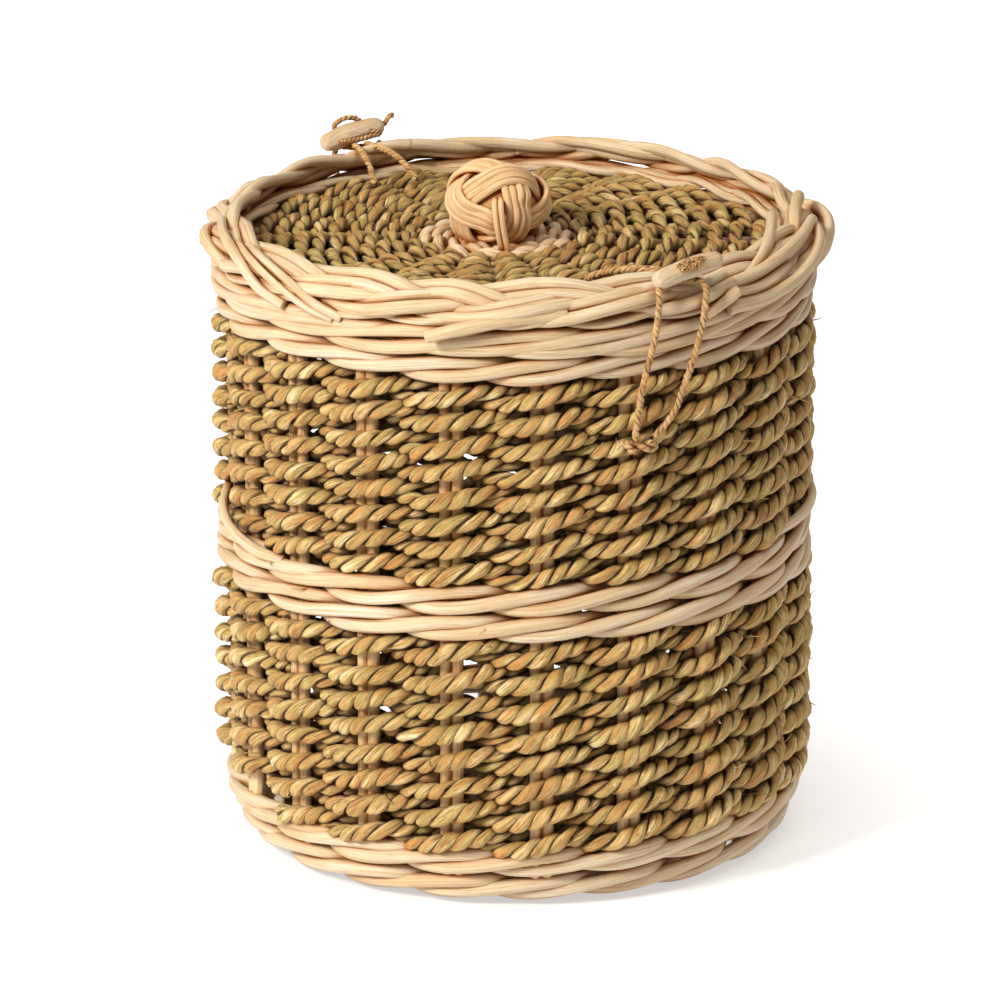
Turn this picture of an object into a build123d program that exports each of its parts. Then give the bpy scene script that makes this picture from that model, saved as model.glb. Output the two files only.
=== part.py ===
from build123d import *
import math
import os

# Lidded round basket: paired rattan stakes, twined seagrass walls, three rattan
# wale bands, a woven lid with a knotted knob, and two toggle-and-loop fasteners.
# Millimetres, +Z up, origin on the floor under the centre of the base.
# Angles round the basket are measured from -Y towards +X, seen from above.

# ---- driving dimensions -------------------------------------------------------
GAP = 0.3                     # clearance between neighbouring bands and bodies

STAKE_COUNT = 20              # pairs of upright stakes
STAKE_CIRCLE = 102.0
STAKE_DIAMETER = 4.0
STAKE_SPACING = 4.4           # between the two stakes of a pair

FOOT_TOP = 23.0
FOOT_LEDGE = 10.6             # the stakes stand on this ledge of the foot
MID_BAND = (102.5, 123.2)     # z of the middle wale
TOP_BAND = (198.6, 209.0)     # z of the wale under the rim
RIM_TOP = 218.7
WALE_RADIUS = 111.0
RIM_RADIUS = 114.5
RIM_INNER_RADIUS = 98.0
FOOT_INNER_RADIUS = 91.0
FOOT_RADIUS = 108.0

WEAVE_RADIUS = 110.0          # crest of the outer rope rows
WEAVE_INNER_RADIUS = 94.0     # crest of the inner rope rows
WEAVE_ROWS = 8                # rope rows in each wall band
ROPE_SCALLOP = 2.8
WALE_ROWS = 4
ROD_SCALLOP = 1.4

OUTER_SKIN = STAKE_CIRCLE + STAKE_DIAMETER / 2 + GAP    # inner face of the outer rows
INNER_SKIN = STAKE_CIRCLE - STAKE_DIAMETER / 2 - GAP    # outer face of the inner rows

SPOKE_THICKNESS = 3.0
SPOKE_WIDTH = 3.4
SPOKE_STEP = 4.2              # between sticks where they cross the centre
SPOKE_BUNDLE = 13.0           # half length of the straight crossing at the centre
STICKS_EACH_WAY = 5
PANEL_ROPE = 3.2              # thickness of one rope layer of a panel
BINDING_INNER = 6.0
BINDING_RADIUS = 26.0
BASE_MID = 7.4                # z of the middle of the base panel
BASE_RADIUS = FOOT_INNER_RADIUS - GAP
LID_MID = 219.5
LID_CENTRE = (-6.1, 2.7)      # the lid's woven centre is a little off the axis
LID_SPOKE_RADIUS = 97.5
LID_INNER_RADIUS = 92.5       # the underside rope layer drops inside the rim
LID_PANEL_ROWS = 7

LID_BORDER_BOTTOM = RIM_TOP + GAP
LID_BORDER_INNER = LID_SPOKE_RADIUS + GAP
LID_BORDER_TOP = 232.8

KNOB_DIAMETER = 39.4
KNOB_TOP = 252.6
KNOB_SQUASH = 0.82            # height of the knob's ball over its width
KNOB_TAIL_LENGTH = 17.0
KNOB_TAIL_WIDTH = 3.4
KNOB_TAIL_THICKNESS = 1.6

TOGGLE_DIAMETER = 7.0
TOGGLE_LENGTH = 30.0
TOGGLE_RADIUS_OUT = 112.0     # distance of the toggle from the basket's axis
TOGGLE_ANGLE = 9.5            # beside the stake that carries the loop
TOGGLE_HEIGHT = 237.0
LASHING_RADIUS = 4.3
LASHING_WIDTH = 5.0

STRING_DIAMETER = 2.4
ARC_SHARE = 0.45              # share of the shorter run that each arc takes up

LOOP_KNOT_RADIUS_OUT = 113.4
LOOP_KNOT_HEIGHT = 175.0
LOOP_KNOT_RADIUS = 2.9
LOOP_KNOT_LENGTH = 13.0

# String routes as (distance from the axis, angle, height)
LOOP_ROUTE = [
    (113.6, -1.5, 178.2),
    (116.4, -0.8, 199.0),
    (116.7, 1.2, 211.0),
    (116.7, 2.1, 228.4),
    (116.7, 11.7, 228.4),
    (116.7, 10.2, 209.5),
    (116.4, 7.4, 196.0),
    (114.9, 5.8, 184.5),
    (113.6, 2.2, 178.3),
]
FRONT_TETHERS = {
    "a": [(75, -3.5, 227.2), (81, -1.8, 231.0), (92, 2.0, 234.3), (100, 5.6, 234.6), (105.0, 8.2, 233.9)],
    "b": [(75, -0.9, 227.2), (81, 0.7, 231.0), (92, 4.3, 234.3), (100, 7.8, 234.6), (105.0, 10.4, 233.9)],
}
REAR_TETHERS = {
    "a": [(79, 17.5, 227.2), (83, 16.2, 230.8), (92, 13.8, 234.3), (100, 12.0, 234.6), (105.0, 10.8, 233.9)],
    "b": [(75.5, 5.4, 227.2), (81, 5.8, 231.0), (91.5, 6.7, 234.3), (100, 7.6, 234.6), (105.0, 8.1, 233.9)],
}

# One fastener in front and one behind, half a turn apart; each toggle leans its own way
FASTENERS = {
    "front": {"turn": 0, "lean": -7.0, "tethers": FRONT_TETHERS},
    "rear": {"turn": 180, "lean": 5.0, "tethers": REAR_TETHERS},
}


# ---- helpers ------------------------------------------------------------------
def save(name, shape):
    """Write one sub-part under its own name."""
    shape.label = name
    export_step(shape, f"parts/{name}.step")


def around(radius, angle, height):
    """Point at a distance from the axis, an angle from -Y and a height."""
    turn = math.radians(angle)
    return Vector(radius * math.sin(turn), -radius * math.cos(turn), height)


def profile_ring(*edges):
    """Solid of revolution about Z of an outline drawn as (radius, height)."""
    return revolve(make_face(Plane.XZ * Curve(edges)), Axis.Z)


def scallops(face, depth, low, high, rows):
    """Rounded rows up one side of a ring: crests at face, valleys at depth inside it."""
    step = (high - low) / rows
    arcs = []
    for row in range(rows):
        bottom = low + row * step
        start = (face - depth, bottom)
        crest = (face, bottom + step / 2)
        end = (face - depth, bottom + step)
        arcs.append(ThreePointArc(start, crest, end))
    return arcs


def row_band(crest, back, low, high, rows, depth):
    """Ring with a plain back and a scalloped face; crest may lie on either side."""
    side = depth if crest > back else -depth
    valley = crest - side
    arcs = scallops(crest, side, low, high, rows)
    return profile_ring(
        Polyline((valley, low), (back, low), (back, high), (valley, high)),
        *arcs,
    )


def annulus(inner, outer, low, thickness, inner_centre=(0, 0)):
    """Flat ring whose hole may lie off the axis."""
    plate = Pos(0, 0, low + thickness / 2) * Cylinder(outer, thickness)
    hole = Pos(inner_centre[0], inner_centre[1], low + thickness / 2) * Cylinder(inner, thickness)
    return plate - hole


def string_tube(name, route):
    """Round string along straight runs joined by arcs as large as the runs allow."""
    points = [around(*place) for place in route]
    radii = []
    for before, corner, after in zip(points, points[1:], points[2:]):
        turn = math.radians((corner - before).get_angle(after - corner))
        shorter = min((corner - before).length, (after - corner).length)
        radii.append(ARC_SHARE * shorter / math.tan(turn / 2))
    path = FilletPolyline(*points, radius=radii)
    section = Plane(origin=path @ 0, z_dir=path % 0) * Circle(STRING_DIAMETER / 2)
    tube = sweep(section, path=path)
    expected = math.pi * STRING_DIAMETER ** 2 / 4 * path.length
    print(name, "radii", [round(radius, 1) for radius in radii])
    print(name, "length", round(path.length, 1), "volume over expected", round(tube.volume / expected, 4))
    return tube


# ---- wall ---------------------------------------------------------------------
def make_foot():
    """Tapered foot of rattan rods; its ledge carries the stakes."""
    outline = Polyline(
        (FOOT_INNER_RADIUS, 0),
        (98.0, 0),
        (102.4, 4.6),
        (105.6, FOOT_LEDGE),
        (107.4, 17.0),
        (FOOT_RADIUS, FOOT_TOP),
        (OUTER_SKIN, FOOT_TOP),
        (OUTER_SKIN, FOOT_LEDGE),
        (FOOT_INNER_RADIUS, FOOT_LEDGE),
        close=True,
    )
    save("foot_wale", profile_ring(outline))
    lining_low = FOOT_LEDGE + GAP
    save("foot_lining", row_band(WEAVE_INNER_RADIUS, INNER_SKIN, lining_low, FOOT_TOP, 2, ROD_SCALLOP))


def make_wall_bands():
    """Rope bands and wales, each with rows outside and inside the stakes."""
    lower = (FOOT_TOP + GAP, MID_BAND[0] - GAP)
    upper = (MID_BAND[1] + GAP, TOP_BAND[0] - GAP)
    for name, (low, high) in (("lower_weave", lower), ("upper_weave", upper)):
        outside = row_band(WEAVE_RADIUS, OUTER_SKIN, low, high, WEAVE_ROWS, ROPE_SCALLOP)
        inside = row_band(WEAVE_INNER_RADIUS, INNER_SKIN, low, high, WEAVE_ROWS, ROPE_SCALLOP)
        save(f"{name}_outer", outside)
        save(f"{name}_inner", inside)
    for name, (low, high), rows in (("middle_wale", MID_BAND, WALE_ROWS), ("top_wale", TOP_BAND, 2)):
        outside = row_band(WALE_RADIUS, OUTER_SKIN, low, high, rows, ROD_SCALLOP)
        inside = row_band(WEAVE_INNER_RADIUS, INNER_SKIN, low, high, rows, ROD_SCALLOP)
        save(f"{name}_outer", outside)
        save(f"{name}_inner", inside)


def make_rim():
    """Rod border that closes the top of the wall over the stake ends."""
    low = TOP_BAND[1] + GAP
    outline = Polyline(
        (RIM_INNER_RADIUS, low),
        (WALE_RADIUS + 1.5, low),
        (RIM_RADIUS, low + 2.5),
        (RIM_RADIUS, RIM_TOP),
        (RIM_INNER_RADIUS, RIM_TOP),
        close=True,
    )
    save("rim_border", profile_ring(outline))


def make_stakes():
    """Pairs of upright stakes, one node a pair."""
    low = FOOT_LEDGE
    high = TOP_BAND[1] + GAP
    stake = Pos(0, 0, (low + high) / 2) * Cylinder(STAKE_DIAMETER / 2, high - low)
    half_angle = math.degrees(STAKE_SPACING / 2 / STAKE_CIRCLE)
    for index in range(STAKE_COUNT):
        middle = index * 360 / STAKE_COUNT
        pair = [
            Pos(*around(STAKE_CIRCLE, middle + side * half_angle, 0)) * stake
            for side in (-1, 1)
        ]
        save(f"stake_pair_{index + 1:02d}", Compound(pair))


# ---- woven panels ---------------------------------------------------------------
def spoke(offset, end_angle, centre, radius):
    """One flat stick across the centre that fans out to a spoke at each end."""
    fan = math.radians(end_angle)
    points = [
        (-radius * math.cos(fan), radius * math.sin(fan)),
        (centre[0] - SPOKE_BUNDLE, centre[1] + offset),
        (centre[0] + SPOKE_BUNDLE, centre[1] + offset),
        (radius * math.cos(fan), radius * math.sin(fan)),
    ]
    runs = []
    for start, end in zip(points, points[1:]):
        length = math.dist(start, end)
        heading = math.degrees(math.atan2(end[1] - start[1], end[0] - start[0]))
        middle = ((start[0] + end[0]) / 2, (start[1] + end[1]) / 2)
        runs.append(Pos(middle[0], middle[1], 0) * Rot(0, 0, heading) * Box(length, SPOKE_WIDTH, SPOKE_THICKNESS))
    joints = [Pos(x, y, 0) * Cylinder(SPOKE_WIDTH / 2, SPOKE_THICKNESS) for x, y in points[1:3]]
    stick = runs[0] + runs[1] + runs[2] + joints[0] + joints[1]
    return stick & Cylinder(radius - 0.2, 2 * SPOKE_THICKNESS)


def stick_layer(centre, radius):
    """Five sticks side by side, fanned to every 18 degrees at both ends."""
    middle = (STICKS_EACH_WAY - 1) / 2
    spread = 360 / STAKE_COUNT
    sticks = []
    for index in range(STICKS_EACH_WAY):
        place = index - middle
        sticks.append(spoke(place * SPOKE_STEP, place * spread, centre, radius))
    return sticks


def make_panel(name, mid, centre, spoke_radius, bottom_radius, top_radius):
    """Sticks crossing in two layers, bound at the centre, with rope rows on both faces."""
    lower = [Pos(0, 0, mid - SPOKE_THICKNESS / 2) * stick for stick in stick_layer(centre, spoke_radius)]
    turned_centre = (centre[1], -centre[0])
    upper = [
        Pos(0, 0, mid + SPOKE_THICKNESS / 2) * Rot(0, 0, 90) * stick
        for stick in stick_layer(turned_centre, spoke_radius)
    ]
    save(f"{name}_sticks_lower", Compound(lower))
    save(f"{name}_sticks_upper", Compound(upper))
    bottom = mid - SPOKE_THICKNESS - PANEL_ROPE
    top = mid + SPOKE_THICKNESS
    rope_hole = BINDING_RADIUS + GAP
    save(f"{name}_weave_bottom", annulus(rope_hole, bottom_radius, bottom, PANEL_ROPE, centre))
    save(f"{name}_weave_top", annulus(rope_hole, top_radius, top, PANEL_ROPE, centre))
    place = Pos(centre[0], centre[1], 0)
    save(f"{name}_binding_bottom", place * annulus(BINDING_INNER, BINDING_RADIUS, bottom, PANEL_ROPE))
    save(f"{name}_binding_top", place * annulus(BINDING_INNER, BINDING_RADIUS, top, PANEL_ROPE))


# ---- lid ------------------------------------------------------------------------
def make_lid_border():
    """Plaited rod border of the lid, sloping down to its outer edge."""
    outline = Polyline(
        (LID_BORDER_INNER, LID_BORDER_BOTTOM),
        (RIM_RADIUS, LID_BORDER_BOTTOM),
        (RIM_RADIUS, 224.0),
        (113.5, 227.0),
        (104.0, LID_BORDER_TOP),
        (100.0, LID_BORDER_TOP),
        (LID_BORDER_INNER, 230.0),
        close=True,
    )
    save("lid_border", profile_ring(outline))


def make_knob():
    """Round knotted knob standing on the lid's centre binding."""
    seat = LID_MID + SPOKE_THICKNESS + PANEL_ROPE
    radius = KNOB_DIAMETER / 2
    height = KNOB_TOP - seat
    ball = Pos(0, 0, KNOB_TOP - radius * KNOB_SQUASH) * scale(Sphere(radius), by=(1, 1, KNOB_SQUASH))
    block = Pos(0, 0, seat + height / 2) * Cylinder(radius + 1, height)
    save("knob", Pos(LID_CENTRE[0], LID_CENTRE[1], 0) * (ball & block))


def make_knob_tails():
    """Two rod tails of the knob, tucked flat under the lid's centre."""
    bottom = LID_MID - SPOKE_THICKNESS - PANEL_ROPE
    tails = []
    for side in (-1, 1):
        middle = Pos(
            LID_CENTRE[0] + side * KNOB_TAIL_LENGTH / 2,
            LID_CENTRE[1],
            bottom - KNOB_TAIL_THICKNESS / 2,
        )
        tails.append(middle * Box(KNOB_TAIL_LENGTH - 1, KNOB_TAIL_WIDTH, KNOB_TAIL_THICKNESS))
    save("knob_tails", Compound(tails))


# ---- fasteners --------------------------------------------------------------------
def toggle_place(lean):
    """Location of a toggle: its length runs round the rim and leans by an angle."""
    spot = around(TOGGLE_RADIUS_OUT, TOGGLE_ANGLE, TOGGLE_HEIGHT)
    return Pos(spot.X, spot.Y, spot.Z) * Rot(0, 0, TOGGLE_ANGLE) * Rot(0, lean, 0)


def make_toggle(name, turn, lean):
    """Short rounded peg and the string lashing round its middle."""
    peg = Cylinder(TOGGLE_DIAMETER / 2, TOGGLE_LENGTH, rotation=(0, 90, 0))
    peg = fillet(peg.edges().filter_by(GeomType.CIRCLE), 2.0)
    bore = Cylinder(TOGGLE_DIAMETER / 2 + 0.05, LASHING_WIDTH + 1, rotation=(0, 90, 0))
    wrap = Cylinder(LASHING_RADIUS, LASHING_WIDTH, rotation=(0, 90, 0))
    bead = Pos(0, 0, LASHING_RADIUS - 1.2) * Sphere(2.4)
    lashing = wrap + bead - bore
    place = Rot(0, 0, turn) * toggle_place(lean)
    save(f"{name}_toggle", place * peg)
    save(f"{name}_toggle_lashing", place * lashing)


def make_loop(name, turn):
    """String loop from the wall knot up past the rim and back, with its knot."""
    tube = string_tube(f"{name}_loop", LOOP_ROUTE)
    knot = scale(Sphere(LOOP_KNOT_RADIUS), by=(LOOP_KNOT_LENGTH / 2 / LOOP_KNOT_RADIUS, 1, 1))
    spot = around(LOOP_KNOT_RADIUS_OUT, 0, LOOP_KNOT_HEIGHT)
    save(f"{name}_loop", Rot(0, 0, turn) * tube)
    save(f"{name}_loop_knot", Rot(0, 0, turn) * Pos(spot.X, spot.Y, spot.Z) * knot)


def make_fasteners():
    """Both toggles with their tethers on the lid and their loops on the wall."""
    for name, plan in FASTENERS.items():
        make_toggle(name, plan["turn"], plan["lean"])
        make_loop(name, plan["turn"])
        for leg, route in plan["tethers"].items():
            tube = string_tube(f"{name}_tether_{leg}", route)
            save(f"{name}_tether_{leg}", Rot(0, 0, plan["turn"]) * tube)


os.makedirs("parts", exist_ok=True)
make_foot()
make_wall_bands()
make_rim()
make_stakes()
make_panel("base", BASE_MID, (0, 0), BASE_RADIUS, BASE_RADIUS, BASE_RADIUS)
make_panel("lid", LID_MID, LID_CENTRE, LID_SPOKE_RADIUS, LID_INNER_RADIUS, LID_SPOKE_RADIUS)
make_lid_border()
make_knob()
make_knob_tails()
make_fasteners()
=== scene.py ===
import math

import bpy
import numpy as np
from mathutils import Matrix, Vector


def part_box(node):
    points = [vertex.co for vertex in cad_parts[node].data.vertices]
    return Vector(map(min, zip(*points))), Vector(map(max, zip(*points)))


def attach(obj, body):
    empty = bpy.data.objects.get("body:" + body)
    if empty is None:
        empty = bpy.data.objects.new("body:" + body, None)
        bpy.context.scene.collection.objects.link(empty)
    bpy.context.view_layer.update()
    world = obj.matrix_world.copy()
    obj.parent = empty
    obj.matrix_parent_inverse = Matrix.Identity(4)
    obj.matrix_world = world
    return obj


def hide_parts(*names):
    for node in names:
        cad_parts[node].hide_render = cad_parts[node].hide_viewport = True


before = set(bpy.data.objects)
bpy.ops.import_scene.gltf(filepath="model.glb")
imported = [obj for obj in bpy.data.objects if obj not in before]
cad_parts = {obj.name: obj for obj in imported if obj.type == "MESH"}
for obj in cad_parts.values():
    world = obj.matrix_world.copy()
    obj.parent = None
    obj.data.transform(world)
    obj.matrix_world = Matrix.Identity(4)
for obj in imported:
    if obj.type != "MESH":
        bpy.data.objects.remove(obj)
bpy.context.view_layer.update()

# Lidded round basket: twined seagrass walls on paired rattan stakes, rattan bands,
# a woven lid with a knotted knob, and two toggle-and-loop fasteners.
# Metres, in the frame of the CAD model. Angles round the basket are measured
# from -Y towards +X, seen from above.

MM = 0.001


def span(node):
    """Lowest and highest z of a CAD node."""
    low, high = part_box(node)
    return low.z, high.z


def reach(node):
    """Largest distance of a ring-shaped CAD node from the axis."""
    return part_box(node)[1].x


# ---- driving sizes ------------------------------------------------------------
STAKES = 20
STAKE_CIRCLE = 103.2 * MM
STAKE_SPACING = 4.3 * MM
STAKE_RADIUS = 2.25 * MM

ROPE_RADIUS = 3.55 * MM
ROPE_LAY = 14.6 * MM
ROPE_SWING = 4.6 * MM          # how far a rope swings in and out round the stakes
ROPE_RISE = 2.6 * MM           # how far it rises and falls between them
ROPE_ROWS = 8
LOWER_LAPS = 7.62              # laps of the lower band, whose ropes climb in a helix
LOWER_START = math.radians(-75.5)
LOWER_OVERHANG = 2.6 * MM      # how far the first row sits down on the band below
UPPER_OVERHANG = 0.6 * MM

ROD = 2.3 * MM                 # half the thickness of a rattan rod
WALE_SWING = 5.2 * MM
WALE_RISE = 3.0 * MM

LID_CENTRE = Vector((-6.1, 2.7)) * MM
STRING = 2.4 * MM
STEP = 1.25 * MM               # spacing of the points along a rod


# ---- camera -------------------------------------------------------------------
CAMERA_AZIMUTH = math.radians(-23.6)
CAMERA_ELEVATION = math.radians(17.5)
CAMERA_DISTANCE = 2.7
CAMERA_LENS = 263.3            # millimetres, on a 36 mm sensor
VIEW_POINT = Vector((0, 0, 0.125))
AIM_RIGHT = -5.17 * MM
AIM_UP = -2.58 * MM


def make_camera():
    """Long lens a little above the rim, aimed slightly off the basket's middle."""
    data = bpy.data.cameras.new("camera")
    camera = bpy.data.objects.new("camera", data)
    bpy.context.scene.collection.objects.link(camera)
    level = math.cos(CAMERA_ELEVATION)
    back = Vector((
        math.sin(CAMERA_AZIMUTH) * level,
        -math.cos(CAMERA_AZIMUTH) * level,
        math.sin(CAMERA_ELEVATION),
    ))
    right = Vector((math.cos(CAMERA_AZIMUTH), math.sin(CAMERA_AZIMUTH), 0))
    up = back.cross(right)
    camera.location = VIEW_POINT + back * CAMERA_DISTANCE
    aim = VIEW_POINT + right * AIM_RIGHT + up * AIM_UP
    camera.rotation_euler = (aim - camera.location).to_track_quat("-Z", "Y").to_euler()
    data.lens = CAMERA_LENS
    data.sensor_width = 36
    data.clip_start = 0.1
    data.clip_end = 50
    bpy.context.scene.camera = camera


# ---- geometry helpers -----------------------------------------------------------
def around(radius, angle, height):
    """Point at a distance from the axis, an angle in degrees from -Y and a height."""
    turn = math.radians(angle)
    return Vector((radius * math.sin(turn), -radius * math.cos(turn), height))


def ring(radius, turn, height):
    """Points round the axis, from arrays of distance, angle in radians and height."""
    radius, turn, height = np.broadcast_arrays(radius, turn, height)
    return np.stack([radius * np.sin(turn), -radius * np.cos(turn), height], axis=1)


def unit(vectors):
    """Rows scaled to length one."""
    return vectors / np.maximum(np.linalg.norm(vectors, axis=1, keepdims=True), 1e-12)


def dot(one, other):
    """Row by row dot product, as a column."""
    return np.sum(one * other, axis=1, keepdims=True)


def column(values):
    """A row of numbers as a column."""
    return np.asarray(values, float)[:, None]


def oval(size, thick, wide):
    """Half thickness and half width along a rod."""
    return np.stack([thick * size, wide * size], axis=1)


def upward(path):
    """The direction +Z at each point of a path."""
    return np.tile([0.0, 0.0, 1.0], (len(path), 1))


def arc_length(path):
    """Distance along a path at each of its points."""
    steps = np.linalg.norm(np.diff(path, axis=0), axis=1)
    return np.concatenate([[0.0], np.cumsum(steps)])


def ring_turns(radius, laps=1.0, step=STEP):
    """Angles of points evenly spaced round a ring, starting at the back."""
    count = int(2 * math.pi * radius * laps / step)
    return math.pi + np.arange(count) * (2 * math.pi * laps / count)


def ring_noise(rng, turn, waves):
    """Smooth noise that repeats every turn, with up to that many waves a turn."""
    total = np.zeros_like(turn)
    kinds = 6
    for _ in range(kinds):
        wave = rng.integers(max(1, waves // 2), waves + 1)
        total += np.cos(wave * turn + rng.uniform(0, 2 * math.pi))
    return total / math.sqrt(kinds / 2)


def smooth_curve(points, step=STEP):
    """Even points along a smooth curve through given ones (Catmull-Rom)."""
    knots = np.array([list(point) for point in points], float)
    ends = np.vstack([2 * knots[0] - knots[1], knots, 2 * knots[-1] - knots[-2]])
    pieces = []
    for before, start, stop, after in zip(ends, ends[1:], ends[2:], ends[3:]):
        share = column(np.linspace(0, 1, 24, endpoint=False))
        pieces.append(0.5 * (
            2 * start
            + (stop - before) * share
            + (2 * before - 5 * start + 4 * stop - after) * share ** 2
            + (3 * start - before - 3 * stop + after) * share ** 3
        ))
    dense = np.vstack(pieces + [knots[-1:]])
    length = arc_length(dense)
    places = np.linspace(0, length[-1], max(4, int(length[-1] / step)))
    return np.stack([np.interp(places, length, dense[:, axis]) for axis in range(3)], axis=1)


def carried_normals(path, first):
    """Outward directions along a free path, turned as little as possible."""
    tangents = unit(np.gradient(path, axis=0))
    normal = np.array(first, float)
    normals = []
    for tangent in tangents:
        normal = normal - tangent * np.dot(normal, tangent)
        normal = normal / np.linalg.norm(normal)
        normals.append(normal)
    return np.array(normals)


# Rings added past an open end: (how far past, in half thicknesses; size of the ring)
END_RINGS = {
    "cut": [(0.16, 0.86)],
    "round": [(0.38, 0.93), (0.72, 0.70), (0.92, 0.38)],
}
END_FADE = 1.5 * MM


class Weave:
    """Gathers rods and strands and makes them into one mesh.

    Each point keeps its place on its rod ("rod": millimetres along it and round it),
    and a random number for the rod, how much the point faces the other strand of a
    rope, and its nearness to a cut end ("tone")."""

    def __init__(self, name):
        self.name = name
        self.points = []
        self.quads = []
        self.triangles = []
        self.rods = []
        self.tones = []
        self.count = 0

    def add(self, path, out, half, closed=False, sides=10, end="cut", tone=0.5, twist=0.0, crease=0.0):
        """One rod: half is its half thickness along out and across, per point or not."""
        path = np.asarray(path, float)
        half = np.broadcast_to(np.asarray(half, float), (len(path), 2))
        if closed:
            tangent = unit(np.roll(path, -1, axis=0) - np.roll(path, 1, axis=0))
        else:
            tangent = unit(np.gradient(path, axis=0))
        normal = unit(out - tangent * dot(out, tangent))
        across = np.cross(tangent, normal)
        place = np.arange(len(path))
        shift = np.zeros(len(path))
        size = np.ones(len(path))
        if not closed:
            for past, share in END_RINGS[end]:
                place = np.concatenate([[0], place, [len(path) - 1]])
                shift = np.concatenate([[-past], shift, [past]])
                size = np.concatenate([[share], size, [share]])
        thickness = half[place].mean(axis=1)
        centre = path[place] + tangent[place] * column(shift * thickness)
        turn = np.arange(sides) * 2 * math.pi / sides
        ridge = (normal[place] * column(half[place, 0] * size))[:, None, :] * np.cos(turn)[None, :, None]
        flank = (across[place] * column(half[place, 1] * size))[:, None, :] * np.sin(turn)[None, :, None]
        skin = centre[:, None, :] + ridge + flank
        along = arc_length(centre)
        self.add_skin(skin, closed)
        self.add_values(centre, along, turn, thickness * size, closed, tone, twist, crease)

    def add_skin(self, skin, closed):
        """Faces between the rings, with a fan over each open end."""
        rings, sides = skin.shape[:2]
        grid = self.count + np.arange(rings * sides).reshape(rings, sides)
        rows = grid if not closed else np.vstack([grid, grid[:1]])
        near, far = rows[:-1], rows[1:]
        quads = np.stack([near, np.roll(near, -1, 1), np.roll(far, -1, 1), far], axis=2)
        self.quads.append(quads.reshape(-1, 4))
        self.points.append(skin.reshape(-1, 3))
        self.count += rings * sides
        if closed:
            return
        self.points.append(np.array([skin[0].mean(axis=0), skin[-1].mean(axis=0)]))
        for hub, edge, order in ((self.count, grid[0], -1), (self.count + 1, grid[-1], 1)):
            pair = [edge, np.roll(edge, -1)][::order]
            self.triangles.append(np.stack([np.full(sides, hub), *pair], axis=1))
        self.count += 2

    def add_values(self, centre, along, turn, thickness, closed, tone, twist, crease):
        """Place on the rod, and tone, for the points of add_skin."""
        angle = turn[None, :] + twist * along[:, None]
        width = np.broadcast_to((thickness / MM)[:, None], angle.shape)
        length = np.broadcast_to((along / MM)[:, None], angle.shape)
        rods = np.stack([length, width * np.cos(angle), width * np.sin(angle)], axis=2)
        self.rods.append(rods.reshape(-1, 3))
        fade = np.zeros(len(centre))
        if not closed:
            fade = np.exp(-np.minimum(along, along[-1] - along) / END_FADE)
        tones = np.zeros((len(centre), len(turn), 3))
        tones[:, :, 0] = tone
        # Share facing the other strand, which the materials darken as painted shade in the crease.
        tones[:, :, 1] = crease * (1 - np.cos(turn)) / 2
        tones[:, :, 2] = fade[:, None]
        self.tones.append(tones.reshape(-1, 3))
        if not closed:
            self.rods.append(np.array([[along[0] / MM, 0, 0], [along[-1] / MM, 0, 0]]))
            self.tones.append(np.array([[tone, 0, 1], [tone, 0, 1]]))

    def build(self, material, body, slot, *nodes):
        """The mesh object, riding on a body in place of CAD nodes."""
        mesh = bpy.data.meshes.new(self.name)
        points = np.concatenate(self.points)
        quads = np.concatenate(self.quads)
        triangles = np.concatenate(self.triangles) if self.triangles else np.zeros((0, 3), int)
        loops = np.concatenate([quads.ravel(), triangles.ravel()])
        starts = np.concatenate([
            np.arange(len(quads)) * 4,
            len(quads) * 4 + np.arange(len(triangles)) * 3,
        ])
        mesh.vertices.add(len(points))
        mesh.vertices.foreach_set("co", points.ravel())
        mesh.loops.add(len(loops))
        mesh.loops.foreach_set("vertex_index", loops)
        mesh.polygons.add(len(starts))
        mesh.polygons.foreach_set("loop_start", starts)
        mesh.polygons.foreach_set("use_smooth", np.ones(len(starts), bool))
        mesh.update(calc_edges=True)
        for name, values in (("rod", self.rods), ("tone", self.tones)):
            layer = mesh.attributes.new(name, "FLOAT_VECTOR", "POINT")
            layer.data.foreach_set("vector", np.concatenate(values).ravel())
        mesh.materials.append(material)
        made = bpy.data.objects.new(self.name, mesh)
        bpy.context.scene.collection.objects.link(made)
        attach(made, body)
        if nodes:
            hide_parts(*nodes)
        return made


# ---- materials --------------------------------------------------------------------
CREVICE_REACH = 4.5 * MM       # how near another rod has to be for painted shade to darken a surface


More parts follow.
